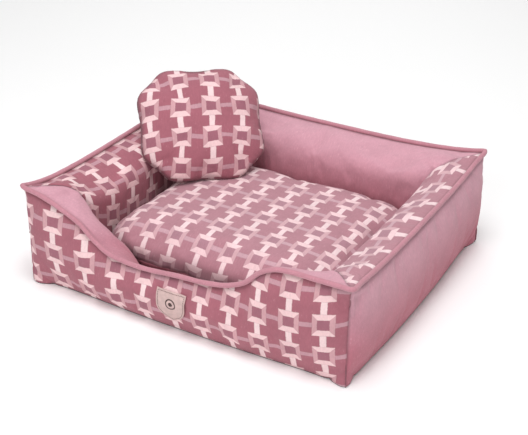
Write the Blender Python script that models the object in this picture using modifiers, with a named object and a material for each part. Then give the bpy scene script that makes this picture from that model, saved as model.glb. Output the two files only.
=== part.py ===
"""A rectangular pet bed: four stuffed cloth walls on a flat base, a loose mattress inside
them and a loose eight-sided pillow leaning in the back left corner.

Metres, +Z up. The bed stands on z = 0 with its centre at x = y = 0. Its long sides run along
X and its entry is in the front wall, at -Y.
"""

import math

import bmesh
import bpy
from mathutils import Euler, Matrix, Vector

# Overall sizes, measured at the piping on top of the walls.
BED_LENGTH = 0.600
BED_WIDTH = 0.510
WALL_HEIGHT = 0.176
WALL_THICKNESS = 0.075

# The cloth and the clearance that touching pieces keep.
FABRIC = 0.0012
GAP = 0.0003

# How the stuffed walls leave a plain box.
WALL_SAG = 0.013
FRONT_SAG = 0.005
WALL_BOW = 0.014
CORNER_RADIUS = 0.022
BOTTOM_TUCK = 0.007
CREST_HEIGHT = 0.070
CREST_ROUNDNESS = 3.0
PIPING_RADIUS = 0.004

# The low entry in the front wall. Its edge climbs a little towards the right.
ENTRY_HEIGHT = 0.104
ENTRY_TILT = 0.075
ENTRY_LEFT = -0.262
ENTRY_LEFT_RAMP = 0.146
ENTRY_RIGHT = 0.184
ENTRY_RIGHT_RAMP = 0.112

# The base: what the bed stands on, a thin pad in the well and the lining over it.
UNDER_PANEL = 0.0015
BASE_PAD = 0.008

# The loose mattress: a knife-edged cushion with its seam part way up.
MATTRESS_PLAY = 0.003
MATTRESS_SEAM_HEIGHT = 0.052
MATTRESS_CROWN = 0.1035
MATTRESS_SQUARENESS = 7.0
MATTRESS_FULLNESS = 5.0

# The loose pillow: a square whose corners are tucked in, leaning back on two walls.
PILLOW_WIDTH = 0.220
PILLOW_HEIGHT = 0.206
PILLOW_THICKNESS = 0.078
PILLOW_CHAMFER = 0.045
PILLOW_PLAY = 0.0007
PILLOW_OFF_BACK = 0.034
PILLOW_TURN = math.radians(46.2)
PILLOW_LEAN = math.radians(43.4)
PILLOW_ROLL = math.radians(-4.2)

# The label: a leather shield sewn low on the front wall.
LABEL_WIDTH = 0.054
LABEL_HEIGHT = 0.056
LABEL_THICKNESS = 0.0014
LABEL_X = -0.005
LABEL_Z = 0.053

# Colours, as Principled base colours.
PLAIN_PINK = (0.43, 0.20, 0.26, 1.0)
PRINT_PINK = (0.52, 0.24, 0.30, 1.0)
PIPING_PINK = (0.50, 0.22, 0.29, 1.0)
LABEL_LEATHER = (0.52, 0.38, 0.37, 1.0)
STUFFING_WHITE = (0.86, 0.85, 0.82, 1.0)
UNDER_GREY = (0.12, 0.10, 0.11, 1.0)

# Derived heights and insets, each from the values above.
FLOOR_OF_WALLS = UNDER_PANEL + GAP
SEAM_INSET = PIPING_RADIUS
SEAM_ROOM = PIPING_RADIUS + GAP
LINING_TOP = FLOOR_OF_WALLS + BASE_PAD + GAP + FABRIC
FILL_INSET = FABRIC + 2.0 * GAP
COVER_LIFT = (FABRIC + GAP) / 2
OUTER_END_GAP = FABRIC / 2 + GAP
INNER_END_GAP = FABRIC / 4 + GAP
OUTER_ROWS = 6
CREST_ROWS = 8

# Each wall: the way it faces, and its half length and distance from the centre.
WALLS = {
    "front": (Vector((0.0, -1.0)), BED_LENGTH / 2, BED_WIDTH / 2),
    "right": (Vector((1.0, 0.0)), BED_WIDTH / 2, BED_LENGTH / 2),
    "back": (Vector((0.0, 1.0)), BED_LENGTH / 2, BED_WIDTH / 2),
    "left": (Vector((-1.0, 0.0)), BED_WIDTH / 2, BED_LENGTH / 2),
}
STATIONS = {"front": 30, "right": 16, "back": 16, "left": 16}


def clear_scene():
    """Remove whatever the scene holds."""
    for obj in list(bpy.data.objects):
        bpy.data.objects.remove(obj, do_unlink=True)


def make_collection(name):
    """Add a collection for the bed's pieces."""
    collection = bpy.data.collections.new(name)
    bpy.context.scene.collection.children.link(collection)
    return collection


def make_material(name, colour, roughness):
    """A Principled material in one colour."""
    material = bpy.data.materials.new(name)
    material.use_nodes = True
    shader = material.node_tree.nodes["Principled BSDF"]
    shader.inputs["Base Color"].default_value = colour
    shader.inputs["Roughness"].default_value = roughness
    shader.inputs["Metallic"].default_value = 0.0
    material.diffuse_color = colour
    return material


def smooth_step(value):
    """0 below 0, 1 above 1 and an S curve between."""
    value = min(max(value, 0.0), 1.0)
    return value * value * (3.0 - 2.0 * value)


# The walls ---------------------------------------------------------------------------------


def seam_height(wall, along):
    """Height of the piped seam at a distance along a wall, counted from its middle."""
    half = WALLS[wall][1]
    sag = FRONT_SAG if wall == "front" else WALL_SAG
    height = WALL_HEIGHT - sag * (1.0 - abs(along / half) ** 3)
    if wall != "front":
        return height
    entry = ENTRY_HEIGHT + ENTRY_TILT * along
    lowered = smooth_step((along - ENTRY_LEFT) / ENTRY_LEFT_RAMP)
    lowered *= smooth_step((ENTRY_RIGHT - along) / ENTRY_RIGHT_RAMP)
    return height + (entry - height) * lowered


def seam_slant(wall, along):
    """Length of the seam for each metre along the wall, at least 1."""
    step = 0.002
    rise = seam_height(wall, along + step) - seam_height(wall, along - step)
    return math.hypot(1.0, rise / (2.0 * step))


def corner_inset(half, along):
    """How far the rounded corner draws the outer face in, near the end of a wall."""
    into = max(abs(along) - (half - CORNER_RADIUS), 0.0) * math.sqrt(0.5)
    return CORNER_RADIUS - math.sqrt(CORNER_RADIUS**2 - into**2)


def outer_inset(wall, along, level):
    """Depth of the outer face from the seam's outline, at a level from 0, floor, to 1, seam."""
    half = WALLS[wall][1]
    bow = WALL_BOW * (1.0 - abs(along / half) ** 2.5) * (1.0 - level**2)
    tuck = BOTTOM_TUCK * (1.0 - level) ** 6 + SEAM_INSET * level**8
    return tuck - bow + corner_inset(half, along)


def place(wall, along, depth, height, end_gap=0.0):
    """The point of a wall at a distance along it, a depth in from its outline and a height.

    Distances along shrink with the depth, so that neighbouring walls meet on a mitre.
    end_gap keeps the wall's ends that far short of it.
    """
    facing, half, reach = WALLS[wall]
    right = Vector((-facing.y, facing.x))
    flat = facing * (reach - depth) + right * (along / half) * (half - depth - end_gap)
    return Vector((flat.x, flat.y, height))


def stations(wall):
    """Distances along a wall: closer together at the ends, where it turns the corner."""
    half = WALLS[wall][1]
    count = STATIONS[wall]
    shares = [2.0 * i / count - 1.0 for i in range(count + 1)]
    return [half * (0.7 * share + 0.3 * math.sin(share * math.pi / 2)) for share in shares]


def outer_profile(wall, along, rows, room):
    """Depths and heights of the outer face, from the floor up to just under the piping."""
    seam = seam_height(wall, along)
    top = seam - room * seam_slant(wall, along)
    profile = []
    for row in range(rows + 1):
        height = FLOOR_OF_WALLS + (top - FLOOR_OF_WALLS) * row / rows
        level = (height - FLOOR_OF_WALLS) / (seam - FLOOR_OF_WALLS)
        profile.append((outer_inset(wall, along, level), height))
    return profile


def inner_profile(wall, along, rows):
    """Depths and heights from beside the piping over the crest and down to the floor.

    The crest is a quarter of a superellipse, WALL_THICKNESS wide and CREST_HEIGHT high.
    """
    seam = seam_height(wall, along)
    start = SEAM_INSET + SEAM_ROOM + corner_inset(WALLS[wall][1], along)
    power = 2.0 / CREST_ROUNDNESS
    profile = []
    for row in range(rows + 1):
        share = row / rows
        turn = math.pi / 2 * (share - 0.1 * math.sin(2.0 * math.pi * share))
        depth = start + (WALL_THICKNESS - start) * math.sin(turn) ** power
        fall = CREST_HEIGHT * (1.0 - max(math.cos(turn), 0.0) ** power)
        profile.append((depth, seam - fall))
    profile.append((WALL_THICKNESS, FLOOR_OF_WALLS))
    return profile


def drawn_in(profile, inset, slant):
    """A profile moved into the wall by an inset; slant stretches the move where the seam climbs.

    The floor end stays at its height.
    """
    moved = []
    last = len(profile) - 1
    for i, (depth, height) in enumerate(profile):
        before = profile[max(i - 1, 0)]
        after = profile[min(i + 1, last)]
        run = after[0] - before[0]
        rise = after[1] - before[1]
        length = math.hypot(run, rise)
        height_moved = height - inset * slant * run / length
        on_floor = height <= FLOOR_OF_WALLS + 1e-6
        new_height = height if on_floor else height_moved
        moved.append((depth + inset * rise / length, new_height))
    return moved


def place_profile(wall, along, profile, end_gap):
    """A profile's points in space."""
    return [place(wall, along, depth, height, end_gap) for depth, height in profile]


def add_object(name, mesh, material, collection):
    """Link a mesh to the bed's collection under a node's name."""
    mesh.materials.append(material)
    obj = bpy.data.objects.new(name, mesh)
    collection.objects.link(obj)
    return obj


def mesh_from_lines(name, lines, closed):
    """Loft a surface through lines of points; closed joins each line's ends and caps both ends."""
    mesh = bpy.data.meshes.new(name)
    bm = bmesh.new()
    rings = [[bm.verts.new(point) for point in line] for line in lines]
    for ring, following in zip(rings, rings[1:]):
        quads = list(zip(ring, following, following[1:], ring[1:]))
        if closed:
            quads.append((ring[-1], following[-1], following[0], ring[0]))
        for quad in quads:
            bm.faces.new(quad)
    if closed:
        bm.faces.new(rings[0])
        bm.faces.new(reversed(rings[-1]))
    bm.to_mesh(mesh)
    bm.free()
    mesh.shade_smooth()
    return mesh


def thicken(obj):
    """Give an open surface the thickness of the cloth, all of it behind the surface."""
    solidify = obj.modifiers.new("cloth", "SOLIDIFY")
    solidify.thickness = FABRIC
    solidify.offset = -1.0


def make_wall(wall, outer_material, inner_material, fill_material, collection):
    """One wall: an outer panel, an inner panel and the stuffing between them."""
    outer = []
    inner = []
    sections = []
    for along in stations(wall):
        slant = seam_slant(wall, along)
        climb = outer_profile(wall, along, OUTER_ROWS, SEAM_ROOM)
        descent = inner_profile(wall, along, CREST_ROWS)
        outer.append(place_profile(wall, along, climb, OUTER_END_GAP))
        inner.append(place_profile(wall, along, descent, INNER_END_GAP))
        short_climb = outer_profile(wall, along, OUTER_ROWS, SEAM_ROOM + FILL_INSET)
        under_crest = drawn_in(descent, FILL_INSET, slant)[1:]
        ring = drawn_in(short_climb, FILL_INSET, slant) + under_crest
        sections.append(place_profile(wall, along, ring, GAP))
    mesh = mesh_from_lines(f"{wall}_outer_panel", outer, closed=False)
    thicken(add_object(mesh.name, mesh, outer_material, collection))
    mesh = mesh_from_lines(f"{wall}_inner_panel", inner, closed=False)
    thicken(add_object(mesh.name, mesh, inner_material, collection))
    mesh = mesh_from_lines(f"{wall}_foam", sections, closed=True)
    add_object(mesh.name, mesh, fill_material, collection)


def make_piping(material, collection):
    """The piping: one closed cord along the top seam of all four walls."""
    points = []
    for wall, (_, half, _) in WALLS.items():
        for along in stations(wall)[:-1]:
            depth = SEAM_INSET + corner_inset(half, along)
            points.append(place(wall, along, depth, seam_height(wall, along)))
    curve = bpy.data.curves.new("top_piping", "CURVE")
    curve.dimensions = "3D"
    curve.bevel_depth = PIPING_RADIUS
    curve.bevel_resolution = 2
    curve.materials.append(material)
    spline = curve.splines.new("POLY")
    spline.points.add(len(points) - 1)
    for spot, point in zip(spline.points, points):
        spot.co = (*point, 1.0)
    spline.use_cyclic_u = True
    piping = bpy.data.objects.new("top_piping", curve)
    collection.objects.link(piping)


# The base ----------------------------------------------------------------------------------


def add_plate(name, outline, bottom, thickness, material, collection):
    """A flat piece of even thickness with the given outline, standing at a height."""
    curve = bpy.data.curves.new(name, "CURVE")
    curve.dimensions = "2D"
    curve.fill_mode = "BOTH"
    curve.extrude = thickness / 2
    curve.materials.append(material)
    spline = curve.splines.new("POLY")
    spline.points.add(len(outline) - 1)
    for spot, (x, y) in zip(spline.points, outline):
        spot.co = (x, y, 0.0, 1.0)
    spline.use_cyclic_u = True
    plate = bpy.data.objects.new(name, curve)
    plate.location.z = bottom + thickness / 2
    collection.objects.link(plate)
    return plate


def make_base(under_material, pad_material, lining_material, collection):
    """The under panel below the whole bed, and the pad and lining in the well."""
    footprint = []
    for wall in WALLS:
        for along in stations(wall)[:-1]:
            point = place(wall, along, outer_inset(wall, along, 0.0), 0.0)
            footprint.append((point.x, point.y))
    add_plate("base_under_panel", footprint, 0.0, UNDER_PANEL, under_material, collection)

    x = BED_LENGTH / 2 - WALL_THICKNESS - GAP
    y = BED_WIDTH / 2 - WALL_THICKNESS - GAP
    well = [(-x, -y), (x, -y), (x, y), (-x, y)]
    add_plate("base_pad", well, FLOOR_OF_WALLS, BASE_PAD, pad_material, collection)
    lining = LINING_TOP - FABRIC
    add_plate("base_lining", well, lining, FABRIC, lining_material, collection)


# The cushions ------------------------------------------------------------------------------


def rounded_rectangle(half_x, half_y, squareness):
    """Distance of a superellipse's edge from its centre, as a function of the direction."""

    def radius(angle):
        x = abs(math.cos(angle)) / half_x
        y = abs(math.sin(angle)) / half_y
        return (x**squareness + y**squareness) ** (-1.0 / squareness)

    return radius


def tucked_square(half_x, half_y, chamfer):
    """Distance of a chamfered rectangle's edge from its centre, with its corners softened."""
    reach = (half_x + half_y - chamfer) * math.sqrt(0.5)

    def radius(angle):
        x = abs(math.cos(angle)) / half_x
        y = abs(math.sin(angle)) / half_y
        slope = abs(math.cos(abs(angle) % (math.pi / 2) - math.pi / 4)) / reach
        return (x**14 + y**14 + slope**14) ** (-1.0 / 14)

    return radius


def cushion_mesh(name, segments, rings, radius, rise, fullness, upward):
    """Half a knife-edged cushion: a cap that stands on its seam and faces up or down.

    It starts as a sphere. Each point keeps its direction, and its distance from the axis
    becomes a share of the outline's radius; its height follows (1 - share^fullness)^0.6.
    """
    mesh = bpy.data.meshes.new(name)
    bm = bmesh.new()
    bmesh.ops.create_uvsphere(bm, u_segments=segments, v_segments=2 * rings, radius=1.0)
    sign = 1.0 if upward else -1.0
    beyond = [v for v in bm.verts if v.co.z * sign < -1e-4]
    bmesh.ops.delete(bm, geom=beyond, context="VERTS")
    for vert in bm.verts:
        share = min(math.hypot(vert.co.x, vert.co.y), 1.0)
        angle = math.atan2(vert.co.y, vert.co.x)
        reach = radius(angle) * share
        height = sign * rise * cap_level(share, fullness)
        vert.co = (reach * math.cos(angle), reach * math.sin(angle), height)
    bm.to_mesh(mesh)
    bm.free()
    mesh.shade_smooth()
    return mesh


def make_fill(name, upper, lower, material, collection):
    """The filling between two covers: both caps joined at the seam and drawn in by the cloth."""
    mesh = bpy.data.meshes.new(name)
    bm = bmesh.new()
    bm.from_mesh(upper)
    bm.from_mesh(lower)
    bmesh.ops.remove_doubles(bm, verts=bm.verts, dist=0.0001)
    bm.to_mesh(mesh)
    bm.free()
    mesh.shade_smooth()
    fill = add_object(name, mesh, material, collection)
    shrink = fill.modifiers.new("inside the cover", "DISPLACE")
    shrink.strength = -FILL_INSET
    shrink.mid_level = 0.0
    return fill


def mattress_outline():
    """The mattress fills the well, with a little play to the walls."""
    half_x = BED_LENGTH / 2 - WALL_THICKNESS - MATTRESS_PLAY
    half_y = BED_WIDTH / 2 - WALL_THICKNESS - MATTRESS_PLAY
    return rounded_rectangle(half_x, half_y, MATTRESS_SQUARENESS)


def cap_level(share, fullness):
    """Height of a cushion's cap, as a share of its rise, at a share of the outline's radius."""
    return max(1.0 - min(share, 1.0) ** fullness, 0.0) ** 0.6


def make_mattress(top_material, bottom_material, fill_material, collection):
    """The mattress, lying on the lining, centred in the well."""
    outline = mattress_outline()
    crown = MATTRESS_CROWN - MATTRESS_SEAM_HEIGHT
    depth = MATTRESS_SEAM_HEIGHT - LINING_TOP - GAP - COVER_LIFT
    top = cushion_mesh("mattress_top_cover", 40, 7, outline, crown, MATTRESS_FULLNESS, True)
    bottom = cushion_mesh("mattress_bottom_cover", 40, 7, outline, depth, 6.0, False)
    fill = make_fill("mattress_fill", top, bottom, fill_material, collection)
    covers = [
        add_object(top.name, top, top_material, collection),
        add_object(bottom.name, bottom, bottom_material, collection),
    ]
    for cover, side in zip(covers, (1.0, -1.0)):
        thicken(cover)
        cover.location.z = MATTRESS_SEAM_HEIGHT + side * COVER_LIFT
    fill.location.z = MATTRESS_SEAM_HEIGHT


def pillow_rotation():
    """The pillow's turn about Z, its lean back and its roll in its own plane."""
    turn = Matrix.Rotation(PILLOW_TURN, 3, "Z")
    lean = Matrix.Rotation(math.pi / 2 - PILLOW_LEAN, 3, "X")
    roll = Matrix.Rotation(PILLOW_ROLL, 3, "Z")
    return turn @ lean @ roll


def mattress_top(x, y):
    """Height of the mattress's top cover above a point of the floor."""
    share = math.hypot(x, y) / mattress_outline()(math.atan2(y, x))
    rise = MATTRESS_CROWN - MATTRESS_SEAM_HEIGHT
    return MATTRESS_SEAM_HEIGHT + COVER_LIFT + rise * cap_level(share, MATTRESS_FULLNESS)


def reach_beside(wall, centre, points, play):
    """How near the wall's outline a shape of points round a centre may come, with a play.

    Two convex shapes are apart as soon as one direction parts them. So for directions from
    level to steep, the crest's reach and the shape's reach that way give a distance, and the
    smallest one counts. A superellipse's reach is the dual power mean of its two radii.
    """
    facing, half, reach = WALLS[wall]
    along = centre.y * facing.x - centre.x * facing.y
    foot = seam_height(wall, min(max(along, -half), half)) - CREST_HEIGHT
    start = SEAM_INSET + SEAM_ROOM
    dual = CREST_ROUNDNESS / (CREST_ROUNDNESS - 1.0)
    distances = []
    for degrees in range(0, 80, 2):
        level = math.cos(math.radians(degrees))
        steep = math.sin(math.radians(degrees))
        crest = ((WALL_THICKNESS - start) * level) ** dual + (CREST_HEIGHT * steep) ** dual
        towards = Vector((facing.x * level, facing.y * level, -steep))
        shape = max(towards.dot(point) for point in points)
        room = play + shape + crest ** (1.0 / dual) + steep * (foot - centre.z)
        distances.append(start + room / level)
    return reach - min(distances)


def settle_pillow(points):
    """The pillow's centre: down on the mattress, short of the back wall, against the left one."""
    centre = Vector((0.0, 0.0, MATTRESS_CROWN + PILLOW_HEIGHT / 2))
    for _ in range(12):
        centre.y = reach_beside("back", centre, points, PILLOW_OFF_BACK)
        centre.x = -reach_beside("left", centre, points, PILLOW_PLAY)
        spots = [centre + point for point in points]
        centre.z += PILLOW_PLAY - min(spot.z - mattress_top(spot.x, spot.y) for spot in spots)
    return centre


def make_pillow(front_material, back_material, fill_material, collection):
    """The pillow: its two faces and its filling hang from an empty at its centre."""
    outline = tucked_square(PILLOW_WIDTH / 2, PILLOW_HEIGHT / 2, PILLOW_CHAMFER)
    rise = PILLOW_THICKNESS / 2
    front = cushion_mesh("pillow_front_panel", 32, 5, outline, rise, 2.4, True)
    back = cushion_mesh("pillow_back_panel", 32, 5, outline, rise, 2.4, False)
    fill = make_fill("pillow_fill", front, back, fill_material, collection)
    rotation = pillow_rotation()
    pose = bpy.data.objects.new("pillow_pose", None)
    pose.location = settle_pillow([rotation @ v.co for cap in (front, back) for v in cap.vertices])
    pose.rotation_euler = rotation.to_euler()
    collection.objects.link(pose)
    panels = [
        add_object(front.name, front, front_material, collection),
        add_object(back.name, back, back_material, collection),
    ]
    for panel, side in zip(panels, (1.0, -1.0)):
        thicken(panel)
        panel.location.z = side * COVER_LIFT
    for piece in (fill, *panels):
        piece.parent = pose


# The label ---------------------------------------------------------------------------------


def make_label(material, collection):
    """A shield outline on the front wall, tilted to lie along the cloth behind it."""
    half = LABEL_WIDTH / 2
    shoulder = LABEL_HEIGHT * 0.42
    top = LABEL_HEIGHT * 0.5
    outline = [(-half, top), (-half, top - shoulder)]
    for step in range(1, 6):
        share = step / 6
        x = -half * (1.0 - share**1.6)
        outline.append((x, top - shoulder - (LABEL_HEIGHT - shoulder) * share))
    outline.append((0.0, -top))
    outline += [(-x, y) for x, y in reversed(outline[:-1])]
    label = add_plate("label_patch", outline[::-1], 0.0, LABEL_THICKNESS, material, collection)

    seam = seam_height("front", LABEL_X)

    def face(height):
        level = (height - FLOOR_OF_WALLS) / (seam - FLOOR_OF_WALLS)
        return place("front", LABEL_X, outer_inset("front", LABEL_X, level), height)

    span = face(LABEL_Z + top) - face(LABEL_Z - top)
    lean = math.atan2(span.y, span.z)
    stand_off = LABEL_THICKNESS / 2 + 2.0 * GAP
    normal = Vector((0.0, -math.cos(lean), math.sin(lean)))
    label.rotation_euler = Euler((math.pi / 2 - lean, 0.0, 0.0))
    label.location = face(LABEL_Z) + normal * stand_off


def make_bed():
    """Build every piece of the bed."""
    clear_scene()
    collection = make_collection("pet_cushion_bed")
    plain = make_material("plain_cloth", PLAIN_PINK, 0.85)
    printed = make_material("printed_cloth", PRINT_PINK, 0.80)
    piping = make_material("piping_cloth", PIPING_PINK, 0.85)
    leather = make_material("label_leather", LABEL_LEATHER, 0.60)
    stuffing = make_material("stuffing", STUFFING_WHITE, 0.95)
    under = make_material("under_cloth", UNDER_GREY, 0.90)

    make_base(under, stuffing, plain, collection)
    make_wall("front", printed, plain, stuffing, collection)
    make_wall("back", printed, plain, stuffing, collection)
    make_wall("left", plain, printed, stuffing, collection)
    make_wall("right", plain, printed, stuffing, collection)
    make_piping(piping, collection)
    make_label(leather, collection)
    make_mattress(printed, plain, stuffing, collection)
    make_pillow(printed, printed, stuffing, collection)


make_bed()
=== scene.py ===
import math

import bpy
import numpy as np
from mathutils import Matrix, Vector


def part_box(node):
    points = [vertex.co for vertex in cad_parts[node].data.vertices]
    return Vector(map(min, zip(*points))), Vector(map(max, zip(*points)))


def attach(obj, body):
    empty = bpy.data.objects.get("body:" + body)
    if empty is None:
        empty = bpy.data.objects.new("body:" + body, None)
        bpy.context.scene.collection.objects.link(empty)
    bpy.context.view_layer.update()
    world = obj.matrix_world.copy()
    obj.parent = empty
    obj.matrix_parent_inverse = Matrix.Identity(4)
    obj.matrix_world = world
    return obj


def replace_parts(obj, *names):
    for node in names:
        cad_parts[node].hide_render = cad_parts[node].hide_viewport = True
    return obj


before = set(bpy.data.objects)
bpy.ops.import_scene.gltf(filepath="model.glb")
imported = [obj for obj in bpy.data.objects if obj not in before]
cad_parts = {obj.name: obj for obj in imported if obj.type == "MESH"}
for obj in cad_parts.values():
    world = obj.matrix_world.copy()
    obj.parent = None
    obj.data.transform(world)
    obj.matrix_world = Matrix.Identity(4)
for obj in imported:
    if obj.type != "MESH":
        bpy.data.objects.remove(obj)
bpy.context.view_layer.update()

# Camera -------------------------------------------------------------------------------------
# A product shot: a longish lens, the front right corner of the bed nearest, looking down
# on the mattress.

CAMERA_AZIMUTH = math.radians(30.4)
CAMERA_ELEVATION = math.radians(29.3)
CAMERA_DISTANCE = 1.982
CAMERA_TARGET = Vector((-0.0007, 0.0114, 0.080))
CAMERA_LENS = 78.65

away = Vector((
    math.sin(CAMERA_AZIMUTH) * math.cos(CAMERA_ELEVATION),
    -math.cos(CAMERA_AZIMUTH) * math.cos(CAMERA_ELEVATION),
    math.sin(CAMERA_ELEVATION),
))
camera_data = bpy.data.cameras.new("camera")
camera_data.lens = CAMERA_LENS
camera_data.sensor_width = 36.0
camera = bpy.data.objects.new("camera", camera_data)
camera.location = CAMERA_TARGET + away * CAMERA_DISTANCE
camera.rotation_euler = away.to_track_quat("Z", "Y").to_euler()
bpy.context.scene.collection.objects.link(camera)
bpy.context.scene.camera = camera

# Studio -------------------------------------------------------------------------------------
# A white sweep under a big soft box overhead, with a weak fill from the front. The cloth's
# colours are judged without a film look, so the view transform is the plain one.


def linear(hex_colour):
    """The linear RGBA of an sRGB colour written as rrggbb."""
    channels = [int(hex_colour[i:i + 2], 16) / 255.0 for i in (0, 2, 4)]
    curved = [c / 12.92 if c <= 0.04045 else ((c + 0.055) / 1.055) ** 2.4 for c in channels]
    return (*curved, 1.0)


def add_node(tree, kind, inputs=(), **settings):
    """Add a node, set its properties, and fill its inputs with values or other sockets."""
    made = tree.nodes.new(kind)
    for key, value in settings.items():
        setattr(made, key, value)
    for key, value in dict(inputs).items():
        if isinstance(value, bpy.types.NodeSocket):
            tree.links.new(value, made.inputs[key])
        else:
            made.inputs[key].default_value = value
    return made


def soft_box(name, place, aim, size, power):
    """A square area light of one side length, turned to face a point."""
    data = bpy.data.lights.new(name, "AREA")
    data.shape = "SQUARE"
    data.size = size
    data.energy = power
    lamp = bpy.data.objects.new(name, data)
    lamp.location = place
    lamp.rotation_euler = (Vector(place) - Vector(aim)).to_track_quat("Z", "Y").to_euler()
    bpy.context.scene.collection.objects.link(lamp)


bpy.context.scene.view_settings.view_transform = "Standard"
world = bpy.data.worlds.new("studio")
world.use_nodes = True
sky = world.node_tree.nodes["Background"]
sky.inputs["Color"].default_value = (1.0, 1.0, 1.0, 1.0)
sky.inputs["Strength"].default_value = 0.50
bpy.context.scene.world = world
soft_box("overhead", (0.3, -0.5, 2.4), (0.0, 0.0, 0.1), 1.2, 34.0)
soft_box("front_fill", (0.2, -2.6, 1.5), (0.0, 0.0, 0.1), 1.4, 20.0)
soft_box("background", (-0.8, 1.7, 1.5), (-0.8, 1.5, 0.0), 1.4, 6.0)

# Matt white paper, which keeps only the bed's soft shadow.
floor_material = bpy.data.materials.new("white_sweep")
floor_material.use_nodes = True
floor_shader = floor_material.node_tree.nodes["Principled BSDF"]
floor_shader.inputs["Base Color"].default_value = linear("ffffff")
floor_shader.inputs["Roughness"].default_value = 0.9
floor_mesh = bpy.data.meshes.new("floor")
floor_mesh.from_pydata(
    [(-6.0, -6.0, 0.0), (6.0, -6.0, 0.0), (6.0, 6.0, 0.0), (-6.0, 6.0, 0.0)], [], [(0, 1, 2, 3)]
)
floor_mesh.materials.append(floor_material)
floor = bpy.data.objects.new("floor", floor_mesh)
bpy.context.scene.collection.objects.link(floor)

# The bed's outline --------------------------------------------------------------------------
# All four walls are cut to one outline: the piped seam runs round the bed, high at the
# corners, a little slack along each side, and down to the entry in the front wall. The
# pieces that follow it are measured, laid out and filled by the functions here.

_, seam_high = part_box("top_piping")
_, well_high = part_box("base_lining")
PIPING_RADIUS = 0.004
HALF_LENGTH = seam_high[0]
HALF_WIDTH = seam_high[1]
WALL_HEIGHT = seam_high[2] - PIPING_RADIUS
WALL_THICKNESS = HALF_LENGTH - well_high[0]
WALL_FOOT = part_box("front_outer_panel")[0][2]
WALL_SAG = {"front": 0.006, "right": 0.013, "back": 0.014, "left": 0.013}
WALL_BOW = 0.014
CORNER_RADIUS = 0.012
CORNER_FLARE = 0.0055
# How far each corner of the seam is drawn up: front left, front right, back right, back left.
CORNER_RISE = (0.007, 0.002, 0.003, 0.003)
# How far the cloth under each of them is drawn in.
CORNER_DRAW = (0.004, 0.009, 0.003, 0.003)
# The crest inside the seam: how far it falls and how round it is, at the corners and all along
# the other walls, and along the middle of the front wall.
CREST_HEIGHT, FRONT_CREST_HEIGHT = 0.070, 0.085
CREST_ROUNDNESS, FRONT_CREST_ROUNDNESS = 3.0, 1.4
BOTTOM_TUCK = {"front": 0.022, "right": 0.018, "back": 0.018, "left": 0.018}
# Points along the front seam, left to right: distance from the middle and height.
ENTRY_EDGE = (
    (-0.262, 0.1700), (-0.224, 0.1575), (-0.190, 0.1420), (-0.162, 0.1190), (-0.137, 0.1045),
    (-0.105, 0.0985), (-0.070, 0.0975), (0.000, 0.1040), (0.052, 0.1080), (0.096, 0.1180),
    (0.123, 0.1320), (0.148, 0.1560), (0.172, 0.1690), (0.200, 0.1735), (0.240, 0.1740),
)

WALLS = {
    "front": (np.array((0.0, -1.0)), HALF_LENGTH, HALF_WIDTH),
    "right": (np.array((1.0, 0.0)), HALF_WIDTH, HALF_LENGTH),
    "back": (np.array((0.0, 1.0)), HALF_LENGTH, HALF_WIDTH),
    "left": (np.array((-1.0, 0.0)), HALF_WIDTH, HALF_LENGTH),
}


def through_points(x, points):
    """A smooth curve through points: cubic Hermite pieces with slopes from the neighbours."""
    px, py = np.array(points).T
    slope = np.gradient(py, px)
    i = np.clip(np.searchsorted(px, x) - 1, 0, len(px) - 2)
    step = px[i + 1] - px[i]
    t = np.clip((x - px[i]) / step, 0.0, 1.0)
    h00 = (1.0 + 2.0 * t) * (1.0 - t) ** 2
    h01 = t * t * (3.0 - 2.0 * t)
    h10 = t * (1.0 - t) ** 2
    h11 = t * t * (t - 1.0)
    return h00 * py[i] + h01 * py[i + 1] + step * (h10 * slope[i] + h11 * slope[i + 1])


def seam_height(wall, along):
    """Height of the seam: full height at the corners, less WALL_SAG(1 - |u|^3) between them.

    u runs from -1 to 1 along the wall. The front follows the points of the entry's edge.
    Each corner's rise is added as its share |u|^8.
    """
    half = WALLS[wall][1]
    u = along / half
    height = WALL_HEIGHT - WALL_SAG[wall] * (1.0 - np.abs(u) ** 3)
    if wall == "front":
        height = through_points(along, [(-half, WALL_HEIGHT), *ENTRY_EDGE, (half, WALL_HEIGHT)])
    first = list(WALLS).index(wall)
    rise = np.where(u < 0.0, CORNER_RISE[first], CORNER_RISE[(first + 1) % 4])
    return height + rise * np.abs(u) ** 8


def corner_inset(half, along):
    """How far a corner draws a point in: a circle of CORNER_RADIUS, less a flare of |u|^14."""
    into = np.maximum(np.abs(along) - (half - CORNER_RADIUS), 0.0) * math.sqrt(0.5)
    flare = CORNER_FLARE * np.abs(along / half) ** 14
    return CORNER_RADIUS - np.sqrt(CORNER_RADIUS**2 - into**2) - flare


def placed(wall, along, depth, height):
    """Points of a wall at distances along it, depths in from its outline and heights.

    The distance along shrinks in step with the depth, so neighbouring walls meet on a mitre.
    """
    facing, half, reach = WALLS[wall]
    side = np.array((-facing[1], facing[0]))
    across = (reach - depth)[..., None] * facing
    ahead = (along / half * (half - depth))[..., None] * side
    return np.concatenate([across + ahead, height[..., None]], axis=-1)


def grid_normals(points):
    """Unit normals of a grid of points: the cross product of its two directions."""
    ahead = np.gradient(points, axis=0)
    across = np.gradient(points, axis=1)
    normal = np.cross(ahead, across)
    return normal / np.maximum(np.linalg.norm(normal, axis=-1, keepdims=True), 1e-9)


def arc_lengths(points, axis):
    """Distance travelled along one direction of a grid of points, from its first point."""
    steps = np.linalg.norm(np.diff(points, axis=axis), axis=-1)
    start = np.zeros_like(np.take(steps, [0], axis=axis))
    return np.concatenate([start, np.cumsum(steps, axis=axis)], axis=axis)


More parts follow.
